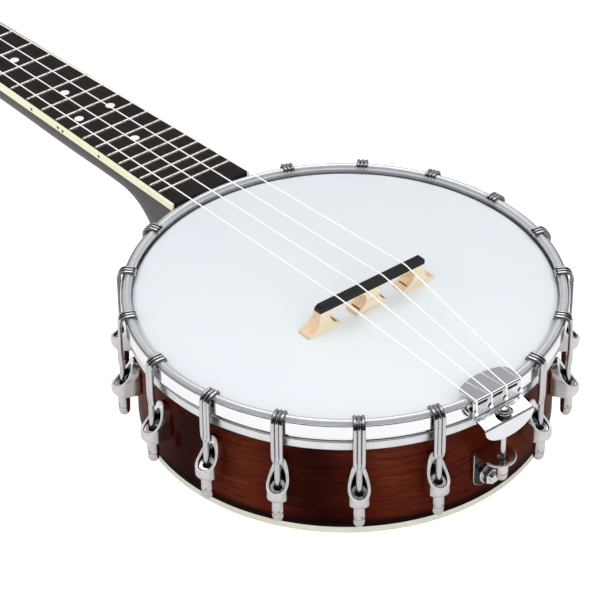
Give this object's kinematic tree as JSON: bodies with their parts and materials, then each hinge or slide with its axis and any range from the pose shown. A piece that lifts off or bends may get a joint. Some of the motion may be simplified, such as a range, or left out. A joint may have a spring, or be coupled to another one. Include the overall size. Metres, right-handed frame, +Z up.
{
  "type": "banjo ukulele",
  "caption": "Banjo ukulele lying on its back: drum pot with tension hooks and shoes, bound fretted neck, three-foot bridge, tailpiece, nylon strings and geared tuners that turn.",
  "frame": {"origin": "middle of the outline seen from above, on the surface the instrument lies on (the plane of the pot's back edge)", "axes": "+X along the neck towards the headstock, +Z up through the drum head, +Y across"},
  "size_m": [0.6596, 0.2292, 0.0827],
  "materials": {
    "rim_wood": "dark red-brown high gloss lacquer with horizontal grain",
    "binding": "cream plastic binding",
    "skin": "frosted white drum skin with an aluminium flesh ring",
    "hoop_metal": "bright plated apron, satin bead",
    "hardware": "polished chrome",
    "neck_wood": "dark gloss lacquer",
    "board_wood": "oiled near-black wood, cream binding, nickel frets, pearl dots",
    "nut_bone": "off-white",
    "bridge_wood": "pale maple under a black ebony top",
    "nylon": "clear white nylon",
    "tuner_metal": "polished nickel",
    "button": "cream plastic"
  },
  "bodies": {
    "frame": {"rim": "rim_wood", "rim_binding": "binding", "drum_head": "skin", "tension_hoop": "hoop_metal", "hook_01": "hardware", "hook_02": "hardware", "hook_03": "hardware", "hook_04": "hardware", "hook_05": "hardware", "hook_06": "hardware", "hook_07": "hardware", "hook_08": "hardware", "hook_09": "hardware", "hook_10": "hardware", "hook_11": "hardware", "hook_12": "hardware", "hook_13": "hardware", "hook_14": "hardware", "hook_15": "hardware", "hook_16": "hardware", "shoe_01": "hardware", "shoe_02": "hardware", "shoe_03": "hardware", "shoe_04": "hardware", "shoe_05": "hardware", "shoe_06": "hardware", "shoe_07": "hardware", "shoe_08": "hardware", "shoe_09": "hardware", "shoe_10": "hardware", "shoe_11": "hardware", "shoe_12": "hardware", "shoe_13": "hardware", "shoe_14": "hardware", "shoe_15": "hardware", "shoe_16": "hardware", "neck": "neck_wood", "fretboard": "board_wood", "nut": "nut_bone", "bridge": "bridge_wood", "tailpiece": "hardware", "tail_bracket": "hardware", "tail_bolt": "hardware", "coordinator_rod": "hardware", "string_1": "nylon", "string_2": "nylon", "string_3": "nylon", "string_4": "nylon", "tuner_1_plate": "tuner_metal", "tuner_2_plate": "tuner_metal", "tuner_3_plate": "tuner_metal", "tuner_4_plate": "tuner_metal"},
    "tuner_1_post": {"tuner_1_post": "tuner_metal"},
    "tuner_1_button": {"tuner_1_button": "button"},
    "tuner_2_post": {"tuner_2_post": "tuner_metal"},
    "tuner_2_button": {"tuner_2_button": "button"},
    "tuner_3_post": {"tuner_3_post": "tuner_metal"},
    "tuner_3_button": {"tuner_3_button": "button"},
    "tuner_4_post": {"tuner_4_post": "tuner_metal"},
    "tuner_4_button": {"tuner_4_button": "button"}
  },
  "joints": [
    {"name": "tuner_1_post_spin", "type": "hinge", "parent": "frame", "child": "tuner_1_post", "pos_m": [0.23864, 0.0185, 0.04597], "axis": [0.2419, 0, 0.9703], "continuous": true},
    {"name": "tuner_1_button_turn", "type": "hinge", "parent": "frame", "child": "tuner_1_button", "pos_m": [0.22712, 0.0185, 0.03121], "axis": [0, 1, 0], "continuous": true},
    {"name": "tuner_2_post_spin", "type": "hinge", "parent": "frame", "child": "tuner_2_post", "pos_m": [0.28424, 0.0215, 0.0346], "axis": [0.2419, 0, 0.9703], "continuous": true},
    {"name": "tuner_2_button_turn", "type": "hinge", "parent": "frame", "child": "tuner_2_button", "pos_m": [0.27273, 0.0215, 0.01984], "axis": [0, 1, 0], "continuous": true},
    {"name": "tuner_3_post_spin", "type": "hinge", "parent": "frame", "child": "tuner_3_post", "pos_m": [0.28424, -0.0215, 0.0346], "axis": [0.2419, 0, 0.9703], "continuous": true},
    {"name": "tuner_3_button_turn", "type": "hinge", "parent": "frame", "child": "tuner_3_button", "pos_m": [0.27273, -0.0215, 0.01984], "axis": [0, -1, 0], "continuous": true},
    {"name": "tuner_4_post_spin", "type": "hinge", "parent": "frame", "child": "tuner_4_post", "pos_m": [0.23864, -0.0185, 0.04597], "axis": [0.2419, 0, 0.9703], "continuous": true},
    {"name": "tuner_4_button_turn", "type": "hinge", "parent": "frame", "child": "tuner_4_button", "pos_m": [0.22712, -0.0185, 0.03121], "axis": [0, -1, 0], "continuous": true}
  ],
  "couplings": [
    {"joint": "tuner_1_post_spin", "follows": "tuner_1_button_turn", "ratio": 0.071429},
    {"joint": "tuner_2_post_spin", "follows": "tuner_2_button_turn", "ratio": 0.071429},
    {"joint": "tuner_3_post_spin", "follows": "tuner_3_button_turn", "ratio": -0.071429},
    {"joint": "tuner_4_post_spin", "follows": "tuner_4_button_turn", "ratio": -0.071429}
  ]
}
